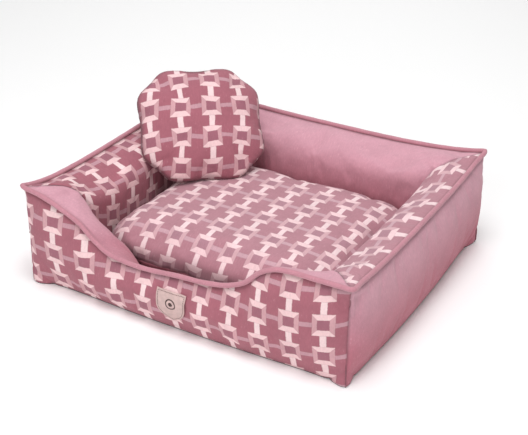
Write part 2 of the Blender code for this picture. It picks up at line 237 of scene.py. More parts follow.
def grid_mesh(name, points, uv):
    """A mesh of quads through a grid of points, with a UV map in metres named cloth."""
    rows, columns = points.shape[:2]
    index = np.arange(rows * columns).reshape(rows, columns)
    quads = np.stack([index[:-1, :-1], index[1:, :-1], index[1:, 1:], index[:-1, 1:]], axis=-1)
    quads = quads.reshape(-1, 4)
    mesh = bpy.data.meshes.new(name)
    mesh.from_pydata(points.reshape(-1, 3).tolist(), [], quads.tolist())
    layer = mesh.uv_layers.new(name="cloth")
    layer.data.foreach_set("uv", uv.reshape(-1, 2)[quads.ravel()].ravel())
    mesh.shade_smooth()
    return mesh


def paint_seam_shade(mesh, shade_weight):
    """Store how near each vertex is to a seam, from 0 to 1, as the attribute seam, which the cloth
    turns into painted seam shade.
    """
    layer = mesh.attributes.new("seam", "FLOAT", "POINT")
    layer.data.foreach_set("value", shade_weight.ravel().astype(np.float32))


def add_piece(mesh, material, thickness=0.0, weld=0.0):
    """An object for a mesh: doubles within weld are merged, then it gets a cloth's thickness."""
    mesh.materials.append(material)
    piece = bpy.data.objects.new(mesh.name, mesh)
    bpy.context.scene.collection.objects.link(piece)
    if weld:
        joined = piece.modifiers.new("close", "WELD")
        joined.merge_threshold = weld
    if thickness:
        cloth = piece.modifiers.new("cloth", "SOLIDIFY")
        cloth.thickness = thickness
        cloth.offset = -1.0
    return piece


def swell(piece, held, pressure, slack, cap, frames=18):
    """Let a piece's cloth fill out and pucker, held at its seams, and keep the result.

    Blender's Cloth with air pressure inside and no gravity. held is a weight for each vertex,
    1 on a seam. slack is how much wider the cloth was cut than its base shape, which is what
    gathers along the seams. No vertex moves further than cap.
    """
    mesh = piece.data
    group = piece.vertex_groups.new(name="held")
    for weight in np.unique(held):
        group.add(np.flatnonzero(held == weight).tolist(), float(weight), "REPLACE")
    modifier = piece.modifiers.new("swell", "CLOTH")
    cloth = modifier.settings
    cloth.quality = 6
    cloth.mass = 0.25
    cloth.tension_stiffness = 20.0
    cloth.compression_stiffness = 12.0
    cloth.shear_stiffness = 8.0
    cloth.bending_stiffness = 0.35
    cloth.vertex_group_mass = "held"
    cloth.pin_stiffness = 1.0
    cloth.use_pressure = True
    cloth.uniform_pressure_force = pressure
    cloth.shrink_min = -slack
    cloth.effector_weights.gravity = 0.0
    modifier.collision_settings.use_collision = False
    modifier.collision_settings.use_self_collision = False
    modifier.point_cache.frame_start = 1
    modifier.point_cache.frame_end = frames
    scene = bpy.context.scene
    for frame_number in range(1, frames + 1):
        scene.frame_set(frame_number)
    solved = piece.evaluated_get(bpy.context.evaluated_depsgraph_get()).to_mesh()
    before = read_points(mesh)
    moved = read_points(solved) - before
    piece.evaluated_get(bpy.context.evaluated_depsgraph_get()).to_mesh_clear()
    length = np.linalg.norm(moved, axis=1, keepdims=True)
    kept = cap * np.tanh(length / cap) / np.maximum(length, 1e-9)
    piece.modifiers.remove(modifier)
    piece.vertex_groups.remove(group)
    mesh.vertices.foreach_set("co", (before + moved * kept).ravel())
    mesh.update()
    scene.frame_set(1)


def read_points(mesh):
    """The places of a mesh's vertices, one row each."""
    flat = np.zeros(len(mesh.vertices) * 3)
    mesh.vertices.foreach_get("co", flat)
    return flat.reshape(-1, 3)


# Walls --------------------------------------------------------------------------------------
# Four stuffed walls. One long bag of cloth runs round the bed, filled with fibre; the seams
# at its top, its bottom and its corners hold it, and it swells and puckers between them.

SPACING = 0.005
OUTER_ROWS = 34
INNER_ROWS = 44
SEAM_DIP = 0.0014
SEAM_DROP = 0.0018
CORNER_DIP = 0.0042
EAR = {"front": 0.004, "right": 0.002, "back": 0.001, "left": 0.002}


def wall_cloth(wall):
    """Base surface of one wall: points by station along it and row round it.

    Rows climb the outer face, depth = tuck (1 - L)^3 + 4 mm L^8 - bow (1 - |u|^2.5)(1 - L^2)
    at level L, where the tuck fades at the ends as 1 - u^6. Then they follow a quarter
    superellipse over the crest and fall to the floor. Each corner is drawn in below its seam
    as e^-(distance / 30 mm)^2 (1 - L^10).
    A dip along the seam and along both ends draws the cloth in, e^-(distance / 5 mm)^2.
    """
    half = WALLS[wall][1]
    stations = int(round(2 * half / SPACING / 2)) * 2 + 1
    u = np.linspace(-1.0, 1.0, stations)[:, None]
    along = half * (0.55 * u + 0.45 * np.sin(u * math.pi / 2))
    seam = seam_height(wall, along) - SEAM_DROP
    level = np.linspace(0.0, 1.0, OUTER_ROWS)[None, :]
    level = level + 0.05 * np.sin(2.0 * math.pi * level) / math.pi
    bow = WALL_BOW * (1.0 - np.abs(along / half) ** 2.5) * (1.0 - level**2)
    tuck = BOTTOM_TUCK[wall] * (1.0 - u**6) * (1.0 - level) ** 3 + PIPING_RADIUS * level**8
    first = list(WALLS).index(wall)
    draw = np.where(u < 0.0, CORNER_DRAW[first], CORNER_DRAW[(first + 1) % 4])
    draw = draw * np.exp(-(((half - np.abs(along)) / 0.030) ** 2)) * (1.0 - level**10)
    outer_depth = tuck - bow + draw + corner_inset(half, along)
    outer_height = WALL_FOOT + (seam - WALL_FOOT) * level

    share = np.linspace(0.0, 1.0, INNER_ROWS)[None, 1:] * 1.55
    turn = math.pi / 2 * np.minimum(share, 1.0)
    start = PIPING_RADIUS + corner_inset(half, along)
    slim = (1.0 - u**6) * (wall == "front")
    power = 2.0 / (CREST_ROUNDNESS + (FRONT_CREST_ROUNDNESS - CREST_ROUNDNESS) * slim)
    fall = CREST_HEIGHT + (FRONT_CREST_HEIGHT - CREST_HEIGHT) * slim
    inner_depth = start + (WALL_THICKNESS - start) * np.sin(turn) ** power
    crest = seam - fall * (1.0 - np.maximum(np.cos(turn), 0.0) ** power)
    below = np.maximum(share - 1.0, 0.0) / 0.55
    inner_height = crest + (WALL_FOOT - crest) * below
    depth = np.concatenate([outer_depth + 0.0 * level, inner_depth], axis=1)
    height = np.concatenate([outer_height, inner_height], axis=1)
    points = placed(wall, along + 0.0 * depth, depth, height)

    beside = np.abs(arc_lengths(points, 1) - arc_lengths(points, 1)[:, [OUTER_ROWS - 1]])
    dip = SEAM_DIP * np.exp(-((beside / 0.005) ** 2))
    from_end = half - np.abs(along)
    dip = dip + CORNER_DIP * np.exp(-((from_end / 0.005) ** 2)) * (beside / (beside + 0.01))
    # At the foot of each corner the cloth is gathered into an ear with a fold beside it.
    outside = np.arange(depth.shape[1]) < OUTER_ROWS
    low = outside * np.exp(-((points[..., 2] / 0.026) ** 2))
    dip = dip - EAR[wall] * np.exp(-(((from_end - 0.010) / 0.016) ** 2)) * low
    fold = from_end - 0.030 + 0.9 * points[..., 2]
    dip = dip + 0.8 * EAR[wall] * np.exp(-((fold / 0.004) ** 2)) * low
    return points - grid_normals(points) * dip[..., None]


bare_walls = {wall: wall_cloth(wall) for wall in WALLS}
ring = np.concatenate([points[:-1] for points in bare_walls.values()])
ring_mesh = bpy.data.meshes.new("wall_cloth")
stations, rows = ring.shape[:2]
index = np.arange(stations * rows).reshape(stations, rows)
beyond = np.roll(index, -1, axis=0)
quads = np.stack([index, beyond, np.roll(beyond, -1, axis=1), np.roll(index, -1, axis=1)], axis=-1)
ring_mesh.from_pydata(ring.reshape(-1, 3).tolist(), [], quads.reshape(-1, 4).tolist())
ring_piece = bpy.data.objects.new("wall_cloth", ring_mesh)
bpy.context.scene.collection.objects.link(ring_piece)

# Seams along the walls hold fully and corner seams a little less; the low inner cloth, which
# the mattress presses on, holds lightly.
hold = np.zeros((stations, rows))
inward = np.linspace(0.0, 1.0, INNER_ROWS - 1)
hold[:, OUTER_ROWS:] = np.round(0.3 * np.clip((inward - 0.45) / 0.4, 0.0, 1.0), 2)
corner_stations = np.cumsum([0] + [len(bare_walls[wall]) - 1 for wall in ("front", "right", "back")])
hold[corner_stations] = 0.6
hold[:, :2] = 1.0
hold[:, -1] = 1.0
hold[:, OUTER_ROWS - 1] = 1.0
swell(ring_piece, hold.ravel(), pressure=3.0, slack=0.022, cap=0.006)
ring = read_points(ring_mesh).reshape(stations, rows, 3)
bpy.data.objects.remove(ring_piece)
wall_points = {}
for start, wall in zip(corner_stations, WALLS):
    picked = np.arange(start, start + len(bare_walls[wall])) % stations
    wall_points[wall] = ring[picked]

# Printed cloth ------------------------------------------------------------------------------
# A cotton and polyester canvas with a printed lattice: rose crosses between linked frames,
# pale pink one way and cream the other, each frame round a small square. Matt, soft weave.

THREAD = 0.0016  # drawn three times too coarse: a real thread here is about half a millimetre


def woven(name, colour, roughness, sheen, fleck, uv=None):
    """Plain-woven cloth: thread bumps across and along, uneven dye and light flecks.

    The height is the larger of two rows of sines at right angles, THREAD apart. The colour
    varies with slow noise, and thin stretched noise above a threshold draws the flecks. A
    point attribute, seam, darkens the cloth by half at a seam: painted shade along the seams.
    """
    material = bpy.data.materials.new(name)
    material.use_nodes = True
    tree = material.node_tree
    shader = tree.nodes["Principled BSDF"]
    shader.inputs["Roughness"].default_value = roughness
    shader.inputs["Sheen Weight"].default_value = sheen
    shader.inputs["Sheen Roughness"].default_value = 0.6
    shader.inputs["Specular IOR Level"].default_value = 0.25
    if uv:
        place = add_node(tree, "ShaderNodeUVMap", uv_map=uv).outputs["UV"]
    else:
        place = add_node(tree, "ShaderNodeTexCoord").outputs["Object"]

    warp = add_node(tree, "ShaderNodeTexWave", {
        "Vector": place, "Scale": 0.314 / THREAD, "Distortion": 1.2, "Detail": 1.0,
        "Detail Scale": 3.0}, bands_direction="X")
    weft = add_node(tree, "ShaderNodeTexWave", {
        "Vector": place, "Scale": 0.314 / THREAD, "Distortion": 1.2, "Detail": 1.0,
        "Detail Scale": 3.0}, bands_direction="Y")
    threads = add_node(tree, "ShaderNodeMath", {
        0: warp.outputs["Fac"], 1: weft.outputs["Fac"]}, operation="MAXIMUM")
    bump = add_node(tree, "ShaderNodeBump", {
        "Height": threads.outputs[0], "Strength": 0.35, "Distance": 0.0004})
    tree.links.new(bump.outputs["Normal"], shader.inputs["Normal"])

    slow = add_node(tree, "ShaderNodeTexNoise", {
        "Vector": place, "Scale": 22.0, "Detail": 3.0, "Roughness": 0.6})
    stretched = add_node(tree, "ShaderNodeMapping", {"Vector": place, "Scale": (1.0, 0.35, 1.0)})
    slub = add_node(tree, "ShaderNodeTexNoise", {
        "Vector": stretched.outputs[0], "Scale": 380.0, "Detail": 2.0, "Roughness": 0.7})
    dye = add_node(tree, "ShaderNodeMapRange", {
        "Value": slow.outputs["Fac"], "From Min": 0.3, "From Max": 0.7, "To Min": 0.93,
        "To Max": 1.06})
    grain = add_node(tree, "ShaderNodeMapRange", {
        "Value": slub.outputs["Fac"], "From Min": 0.3, "From Max": 0.7, "To Min": 0.94,
        "To Max": 1.06})
    # Painted seam shade: the colour is scaled by 1 - seam / 2.
    seam = add_node(tree, "ShaderNodeAttribute", attribute_name="seam")
    painted_seam_shade = add_node(tree, "ShaderNodeMath", {0: seam.outputs["Fac"], 1: -0.5, 2: 1.0},
                        operation="MULTIPLY_ADD")
    uneven = add_node(tree, "ShaderNodeMath", {0: dye.outputs[0], 1: grain.outputs[0]},
                      operation="MULTIPLY")
    tone = add_node(tree, "ShaderNodeMath", {0: uneven.outputs[0], 1: painted_seam_shade.outputs[0]},
                    operation="MULTIPLY")
    light = add_node(tree, "ShaderNodeMapRange", {
        "Value": slub.outputs["Fac"], "From Min": 0.66, "From Max": 0.74, "To Min": 0.0,
        "To Max": fleck})
    if isinstance(colour, str):
        base = add_node(tree, "ShaderNodeRGB")
        base.outputs[0].default_value = linear(colour)
        ground = base.outputs[0]
    else:
        ground = colour(tree, place)
    toned = add_node(tree, "ShaderNodeVectorMath", {0: ground, "Scale": tone.outputs[0]},
                     operation="SCALE")
    flecked = add_node(tree, "ShaderNodeMix", {
        0: light.outputs[0], 6: toned.outputs[0], 7: linear("f2dfe2")}, data_type="RGBA")
    tree.links.new(flecked.outputs[2], shader.inputs["Base Color"])
    return material


REPEAT = 0.056
ROSE = "a4626f"
SQUARE = "9d6371"
PALE_PINK = "ca9ba1"
PALE_PINK_LINK = "bf919b"
CREAM = "eed2d3"
CREAM_FRAME = "ebc7c9"
DARK_LINE = "7d3f4b"


def printed_lattice(tree, place):
    """Colour of the print at a place on the cloth, in metres, one cell each REPEAT.

    a and b are the distances from the nearest square's centre across and along, as shares of
    a cell. Boxes, each where max(a / half width, b / half height) < 1, are laid over the rose
    ground in turn: the pink link, the cream link, the frame with its sides split on the
    mitre, and the square. A box's edge is a short ramp m, and 4 m (1 - m) draws the fine dark
    line along it.
    """
    wobble = add_node(tree, "ShaderNodeTexNoise", {
        "Vector": place, "Scale": 260.0, "Detail": 1.0})
    shift = add_node(tree, "ShaderNodeVectorMath", {
        0: wobble.outputs["Color"], 1: (-0.5, -0.5, -0.5)}, operation="ADD")
    bent = add_node(tree, "ShaderNodeVectorMath", {
        0: shift.outputs[0], 1: (0.0012, 0.0012, 0.0), 2: place}, operation="MULTIPLY_ADD")
    cells = add_node(tree, "ShaderNodeVectorMath", {
        0: bent.outputs[0], 1: (1.0 / REPEAT, 1.0 / REPEAT, 0.0), 2: (0.5, 0.0, 0.0)},
        operation="MULTIPLY_ADD")
    share = add_node(tree, "ShaderNodeVectorMath", {0: cells.outputs[0]}, operation="FRACTION")
    centred = add_node(tree, "ShaderNodeVectorMath", {
        0: share.outputs[0], 1: (0.5, 0.5, 0.0)}, operation="SUBTRACT")
    distance = add_node(tree, "ShaderNodeVectorMath", {0: centred.outputs[0]},
                        operation="ABSOLUTE")
    split = add_node(tree, "ShaderNodeSeparateXYZ", {0: distance.outputs[0]})
    a, b = split.outputs[0], split.outputs[1]

    past_mitre = add_node(tree, "ShaderNodeMath", {0: a, 1: 0.97, 2: 0.0},
                          operation="MULTIPLY_ADD")
    past_mitre = add_node(tree, "ShaderNodeMath", {0: past_mitre.outputs[0], 1: b},
                          operation="SUBTRACT")
    cream_side = add_node(tree, "ShaderNodeMapRange", {
        "Value": past_mitre.outputs[0], "From Min": -0.014, "From Max": 0.014, "To Min": 1.0,
        "To Max": 0.0}, interpolation_type="SMOOTHSTEP")
    frame_colour = add_node(tree, "ShaderNodeMix", {
        0: cream_side.outputs[0], 6: linear(PALE_PINK), 7: linear(CREAM_FRAME)},
        data_type="RGBA")
    colour = linear(ROSE)
    # Half width, half height, softness of the edge, colour and strength of the line.
    for half_width, half_height, soft, above, line in (
            (1.0, 0.074, 0.19, linear(PALE_PINK_LINK), 0.35),
            (0.090, 1.0, 0.155, linear(CREAM), 0.0),
            (0.315, 0.325, 0.035, frame_colour.outputs[2], 0.30),
            (0.165, 0.150, 0.060, linear(SQUARE), 0.30)):
        across = add_node(tree, "ShaderNodeMath", {0: a, 1: half_width}, operation="DIVIDE")
        along = add_node(tree, "ShaderNodeMath", {0: b, 1: half_height}, operation="DIVIDE")
        reach = add_node(tree, "ShaderNodeMath", {0: across.outputs[0], 1: along.outputs[0]},
                         operation="MAXIMUM")
        mask = add_node(tree, "ShaderNodeMapRange", {
            "Value": reach.outputs[0], "From Min": 1.0 - soft, "From Max": 1.0 + soft,
            "To Min": 1.0, "To Max": 0.0}, interpolation_type="SMOOTHSTEP").outputs[0]
        colour = add_node(tree, "ShaderNodeMix", {0: mask, 6: colour, 7: above},
                          data_type="RGBA").outputs[2]
        outside = add_node(tree, "ShaderNodeMath", {0: 1.0, 1: mask}, operation="SUBTRACT")
        both = add_node(tree, "ShaderNodeMath", {0: outside.outputs[0], 1: mask},
                        operation="MULTIPLY")
        edge = add_node(tree, "ShaderNodeMath", {0: both.outputs[0], 1: 4.0 * line},
                        operation="MULTIPLY")
        colour = add_node(tree, "ShaderNodeMix", {
            0: edge.outputs[0], 6: colour, 7: linear(DARK_LINE)}, data_type="RGBA").outputs[2]
    return colour


def lit_lattice(tree, place):
    """The same print made paler, a sixth of pale haze mixed in: painted light, a lit copy."""
    return add_node(tree, "ShaderNodeMix", {
        0: 0.16, 6: printed_lattice(tree, place), 7: linear("e6d2dc")},
        data_type="RGBA").outputs[2]


def height_shaded_pink(tree, place):
    """Plain pink painted paler towards the tops of the walls: painted light and shade, a smooth ramp
    with height.
    """
    where = add_node(tree, "ShaderNodeTexCoord").outputs["Object"]
    height = add_node(tree, "ShaderNodeSeparateXYZ", {0: where})
    # Painted light and shade: darker pink at the foot of the walls, paler at the top.
    height_light = add_node(tree, "ShaderNodeMapRange", {
        "Value": height.outputs[2], "From Min": 0.03, "From Max": 0.165, "To Min": 0.0,
        "To Max": 1.0}, interpolation_type="SMOOTHSTEP")
    return add_node(tree, "ShaderNodeMix", {
        0: height_light.outputs[0], 6: linear("b76b7a"), 7: linear("cd98a6")},
        data_type="RGBA").outputs[2]


# Matt canvas keeps the print's edges clear. The lit copy of the print is painted light: a sixth of
# pale haze mixed in, used on the mattress top and the inside of the right wall. The plain canvas
# is the same weave with more light flecks, its pink painted paler towards the tops of the walls
# and darker at the foot: painted light and shade.
printed_cloth = woven("printed_canvas", printed_lattice, 0.85, 0.12, 0.15, uv="cloth")
lit_print = woven("lit_printed_canvas", lit_lattice, 0.9, 0.2, 0.15, uv="cloth")
plain_cloth = woven("plain_pink_canvas", height_shaded_pink, 0.85, 0.15, 0.25, uv="cloth")


def on_print(across, along, pitch, start):
    """UV coordinates that lay the print's repeats pitch apart, a cream bar's centre at start."""
    return np.stack([
        (across - start[0]) / pitch[0] * REPEAT, (along - start[1]) / pitch[1] * REPEAT
    ], axis=-1)


# Wall panels --------------------------------------------------------------------------------
# Each wall has an outer and an inner piece of cloth, sewn together under the piping and to
# their neighbours at the corners. Front and back are printed outside, the sides inside.

PANEL_PRINTS = {
    "front_outer_panel": ((0.0558, 0.0565), (-0.0138, 0.0)),
    "back_outer_panel": ((0.0558, 0.0565), (0.010, 0.060)),
    "left_inner_panel": ((0.0570, 0.0610), (0.119, 0.0505)),
    "right_inner_panel": ((0.0585, 0.0570), (-0.1668, 0.0162)),
}
# Where a row of cream bars crosses the front wall: distance along it, height on the cloth.
FRONT_PRINT_ROW = (
    (-0.300, 0.050), (-0.180, 0.053), (-0.120, 0.0605), (-0.057, 0.0665), (0.050, 0.0675),
    (0.150, 0.0680), (0.205, 0.0700), (0.265, 0.0810), (0.300, 0.0860),
)


FABRIC = 0.0012  # thickness of the canvas


def sewn_piece(mesh, material, seam_shade_weight):
    """A mesh as a smooth piece of canvas with its thickness inside, with painted shade where it is
    sewn.
    """
    paint_seam_shade(mesh, seam_shade_weight)
    piece = add_piece(mesh, material)
    smooth = piece.modifiers.new("smooth", "SUBSURF")
    smooth.levels = 1
    smooth.render_levels = 1
    thick = piece.modifiers.new("cloth", "SOLIDIFY")
    thick.thickness = FABRIC
    thick.offset = -1.0
    return piece


def panel(wall, side):
    """One panel as a piece: its part of the wall's cloth, laid out by arc length."""
    rows = slice(0, OUTER_ROWS) if side == "outer" else slice(OUTER_ROWS - 1, None)
    points = wall_points[wall][:, rows]
    bare = bare_walls[wall][:, rows]
    name = f"{wall}_{side}_panel"
    facing = WALLS[wall][0]
    along = bare[..., 0] * -facing[1] + bare[..., 1] * facing[0]
    over = arc_lengths(bare, 1)
    if wall == "front":
        # The cloth is drawn sideways by up to 9 mm where the entry is let in.
        over = over - through_points(along, FRONT_PRINT_ROW) * (side == "outer")
        along = along - 0.009 * np.sin(2.0 * math.pi * (along + 0.237) / 0.66)
    if name in PANEL_PRINTS:
        uv = on_print(along, over, *PANEL_PRINTS[name])
    else:
        uv = np.stack([along, over], axis=-1)
    mesh = grid_mesh(f"{name}_cloth", points, uv)
    length, height = arc_lengths(bare, 0), arc_lengths(bare, 1)
    from_corner = np.minimum(length, length[[-1]] - length)
    from_piping = np.abs(height - height[:, [-1 if side == "outer" else 0]])
    # Painted seam shade: full along the piping and 0.8 of it along the corner seams.
    seam_shade_weight = np.maximum(np.exp(-((from_piping / 0.006) ** 2)),
                      0.8 * np.exp(-((from_corner / 0.0025) ** 2)))
    cloth = plain_cloth
    if name in PANEL_PRINTS:
        # The inside of the right wall takes the lit copy of the print: painted light.
        cloth = lit_print if name == "right_inner_panel" else printed_cloth
    piece = sewn_piece(mesh, cloth, seam_shade_weight)
    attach(piece, "bed")
    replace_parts(piece, name)
    return piece


for wall in WALLS:
    panel(wall, "outer")
    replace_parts(panel(wall, "inner"), f"{wall}_foam")

# Base cloth ---------------------------------------------------------------------------------
# A dark, tough woven cloth that the bed stands on, cut flat and sewn to the walls' lower edges.
# Its matt dark weave is its own colour; the thin dark rim it shows along the floor also
# stands in for the contact shadow there, partly painted shade.

base_cloth = woven("dark_base_cloth", "4a3a3f", 0.9, 0.1, 0.05)
# The walls' foot line, drawn towards the centre in even steps.
foot = np.concatenate([wall_points[wall][:-1, 0] for wall in WALLS])
foot = np.concatenate([foot, foot[:1]])
inward = np.linspace(0.0, 1.0, 41)[None, :, None]
points = foot[:, None] * (1.0 - inward) * (1.0 - 0.004 * (inward == 0.0))
points[..., 2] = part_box("base_under_panel")[1][2]
mesh = grid_mesh("base_cloth", points, points[..., :2])
under_panel = add_piece(mesh, base_cloth, thickness=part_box("base_under_panel")[1][2], weld=0.0001)
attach(under_panel, "bed")
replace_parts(under_panel, "base_under_panel")

# Piping -------------------------------------------------------------------------------------
# A cord in a bias strip of the plain cloth, sewn into the top seam all the way round. The
# strip gives it slightly slanting creases.

PIPING_SIDES = 20


def tube(path, radius, sides):
    """Points and UV of a closed tube: circles round a closed path, kept level to the world.

    Each circle lies in the plane across the path. radius is a function of the distance along
    and the angle round.
    """
    ahead = np.roll(path, -1, axis=0) - np.roll(path, 1, axis=0)
    ahead /= np.linalg.norm(ahead, axis=1, keepdims=True)
    out = np.cross(ahead, (0.0, 0.0, 1.0))
    out /= np.linalg.norm(out, axis=1, keepdims=True)
    up = np.cross(out, ahead)
    steps = np.linalg.norm(np.diff(path, axis=0, append=path[:1]), axis=1)
    far = np.concatenate([[0.0], np.cumsum(steps)])
    angle = np.linspace(0.0, 2.0 * math.pi, sides + 1)
    path, out, up = (np.concatenate([a, a[:1]]) for a in (path, out, up))
    size = radius(far[:, None], angle[None, :])[..., None]
    ring = np.cos(angle)[None, :, None] * out[:, None] + np.sin(angle)[None, :, None] * up[:, None]
    uv = np.stack([far[:, None] + 0.0 * angle, 0.0 * far[:, None] + angle * PIPING_RADIUS], axis=-1)
    return path[:, None] + ring * size, uv


def piping_radius(far, angle):
    """The cord's radius: slow lumps of 3% and creases slanting at about 45 degrees of 2%."""
    lumps = 0.03 * np.sin(far * 140.0 + 1.7 * np.sin(far * 47.0))
    creases = 0.022 * np.sin(far * 1150.0 + 2.0 * angle + 2.2 * np.sin(far * 83.0))
    return PIPING_RADIUS * (1.0 + lumps + creases * (0.6 + 0.4 * np.sin(far * 31.0)))


seam_path = []
for wall, (_, half, _) in WALLS.items():
    along = np.linspace(-half, half, int(2 * half / 0.0025) + 1)[:-1]
    inset = PIPING_RADIUS + corner_inset(half, along)
    seam_path.append(placed(wall, along, inset, seam_height(wall, along)))
points, uv = tube(np.concatenate(seam_path), piping_radius, PIPING_SIDES)
# The same canvas cut on the bias: tight over its cord, so it shows smoother and catches light.
piping_cloth = woven("bias_piping_canvas", "bd818e", 0.8, 0.2, 0.2, uv="cloth")
mesh = grid_mesh("piping", points, uv)
piping = add_piece(mesh, piping_cloth, weld=0.0001)
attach(piping, "bed")
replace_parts(piping, "top_piping")

# Lining of the well ------------------------------------------------------------------------
# The floor inside the walls: plain cloth over a thin pad, quilted in diamonds. It shows when
# the mattress is lifted out.

lining_low, lining_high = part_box("base_lining")
pad_low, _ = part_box("base_pad")
QUILT = 0.060
x, y = np.meshgrid(
    np.linspace(lining_low[0], lining_high[0], 181),
    np.linspace(lining_low[1], lining_high[1], 145), indexing="ij")
# Height falls by 3 mm to each quilting line, as 1 - |sin|^0.5 of the two diagonal waves.
puff = np.abs(np.sin((x + y) * math.pi / QUILT) * np.sin((x - y) * math.pi / QUILT)) ** 0.5
z = lining_high[2] - 0.003 * (1.0 - puff) - 0.0002
from_edge = np.minimum(lining_high[0] - np.abs(x), lining_high[1] - np.abs(y))
z = z - 0.004 * np.exp(-((from_edge / 0.006) ** 2))
points = np.stack([x, y, z], axis=-1)
mesh = grid_mesh("well_lining", points, np.stack([x, y], axis=-1))
lining = add_piece(mesh, plain_cloth, thickness=z.min() - pad_low[2] - 0.0005)
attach(lining, "bed")
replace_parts(lining, "base_lining", "base_pad")

# Mattress ----------------------------------------------------------------------------------
# A loose cushion, sewn from a printed top and a plain underside on a knife-edged seam and
# filled until it crowns. The seam is drawn in a little all round.

cover_low, cover_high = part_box("mattress_top_cover")
under_low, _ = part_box("mattress_bottom_cover")
MATTRESS_SQUARENESS = 7.0
MATTRESS_FULLNESS, MATTRESS_EDGE = 6.5, 0.5
MATTRESS_PRINT = ((0.0506, 0.0571), (-0.0275, -0.1147))
MATTRESS_SEAM = cover_low[2]


def cushion_grid(count_x, count_y, outline, rise, fullness, depth, lower_fullness, edge):
    """The two faces of a knife-edged cushion on one square grid each, centred at the origin.

    (s, t) run over the square. outline turns them into a place in the plane; share is the
    larger of |s| and |t|. A face's height is rise (1 - share^fullness)^edge.
    """
    s, t = np.meshgrid(
        np.sin(np.linspace(-1.0, 1.0, count_x) * 1.25) / math.sin(1.25),
        np.sin(np.linspace(-1.0, 1.0, count_y) * 1.25) / math.sin(1.25), indexing="ij")
    x, y = outline(s, t)
    share = np.maximum(np.abs(s), np.abs(t))
    top = rise * np.maximum(1.0 - share**fullness, 0.0) ** edge
    bottom = -depth * np.maximum(1.0 - share**lower_fullness, 0.0) ** edge
    return np.stack([x, y, top], axis=-1), np.stack([x, y, bottom], axis=-1), share


def cushion_mesh(name, top, bottom):
    """One closed mesh through both faces, sharing the vertices of the seam."""
    n, m = top.shape[:2]
    upper = np.arange(n * m).reshape(n, m)
    rim = np.zeros((n, m), bool)
    rim[0], rim[-1], rim[:, 0], rim[:, -1] = True, True, True, True
    lower = upper.copy()
    lower[~rim] = n * m + np.arange((~rim).sum())
    quads = [np.stack([g[:-1, :-1], g[1:, :-1], g[1:, 1:], g[:-1, 1:]], axis=-1).reshape(-1, 4)
             for g in (upper, lower)]
    quads[1] = quads[1][:, ::-1]
    mesh = bpy.data.meshes.new(name)
    points = np.concatenate([top.reshape(-1, 3), bottom[~rim]])
    mesh.from_pydata(points.tolist(), [], np.concatenate(quads).tolist())
    return mesh, upper, lower, rim


def sewn_cushion(name, top, bottom, pressure, slack, cap, seam_hold):
    """Swell a cushion's cloth and give back the points of its two faces."""
    mesh, upper, lower, rim = cushion_mesh(name, top, bottom)
    piece = bpy.data.objects.new(name, mesh)
    bpy.context.scene.collection.objects.link(piece)
    held = np.zeros(len(mesh.vertices))
    held[upper[rim]] = seam_hold
    swell(piece, held, pressure, slack, cap)
    points = read_points(mesh)
    bpy.data.objects.remove(piece)
    return points[upper], points[lower]


def face_piece(name, points, uv, material, seam_shade_weight, outwards=1):
    """One face of a cushion as a piece of cloth with its thickness inside.

    near is 1 on the seam and 0 away from it: the weight of the painted seam shade.
    """
    if outwards < 0:
        points, uv, seam_shade_weight = points[:, ::-1], uv[:, ::-1], seam_shade_weight[:, ::-1]
    return sewn_piece(grid_mesh(name, points, uv), material, seam_shade_weight)


def spread(points, share):
    """Arc lengths across and along a face, counted from its middle."""
    across = arc_lengths(points, 0)
    along = arc_lengths(points, 1)
    middle_x, middle_y = points.shape[0] // 2, points.shape[1] // 2
    return across - across[[middle_x]], along - along[:, [middle_y]]


def mattress_outline(s, t):
    """A superellipse of squareness n: the place (s, t) share / (|s|^n + |t|^n)^(1/n)."""
    n = MATTRESS_SQUARENESS
    share = np.maximum(np.abs(s), np.abs(t))
    size = np.maximum((np.abs(s) ** n + np.abs(t) ** n) ** (1.0 / n), 1e-9)
    return s * share / size * (cover_high[0] - 0.001), t * share / size * (cover_high[1] - 0.001)


top, bottom, share = cushion_grid(
    101, 85, mattress_outline, cover_high[2] - MATTRESS_SEAM - 0.004, MATTRESS_FULLNESS,
    MATTRESS_SEAM - under_low[2] - 0.001, MATTRESS_FULLNESS, MATTRESS_EDGE)
top[..., 2] += MATTRESS_SEAM
bottom[..., 2] += MATTRESS_SEAM
across, along = spread(top, share)
mattress_uv = on_print(across, along, *MATTRESS_PRINT)
top, bottom = sewn_cushion("mattress_cloth", top, bottom, pressure=2.5, slack=0.03,
                           cap=0.006, seam_hold=0.35)
bottom[..., 2] = np.maximum(bottom[..., 2], lining_high[2] + 0.0004)
# Painted seam shade round the knife-edged seam.
seam_shade_weight = np.exp(-(((1.0 - share) / 0.03) ** 2))
# The top takes the lit copy of the print, painted light; both faces get painted seam shade.
mattress_top = face_piece("mattress_top", top, mattress_uv, lit_print, seam_shade_weight)
mattress_under = face_piece("mattress_under", bottom, bottom[..., :2], plain_cloth, seam_shade_weight, -1)
for piece, slot in ((mattress_top, "printed_cloth"), (mattress_under, "plain_cloth")):
    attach(piece, "mattress")
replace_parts(mattress_top, "mattress_top_cover", "mattress_fill")
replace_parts(mattress_under, "mattress_bottom_cover")

# Pillow ------------------------------------------------------------------------------------
# A small square pillow whose four corners are gathered in, which leaves eight soft ears. Both
# faces are printed cloth. It leans back in the corner of the walls.

PILLOW_TURN = math.radians(46.2)
PILLOW_LEAN = math.radians(43.4)
PILLOW_ROLL = math.radians(-4.2)
PILLOW_HALF = (0.110, 0.103)
PILLOW_CHAMFER = 0.045
PILLOW_RISE = 0.039
PILLOW_FULLNESS, PILLOW_EDGE = 2.4, 0.6
PILLOW_PRINT = ((0.0558, 0.0575), (0.0142, -0.0064))
PRINT_LEAN = -0.059

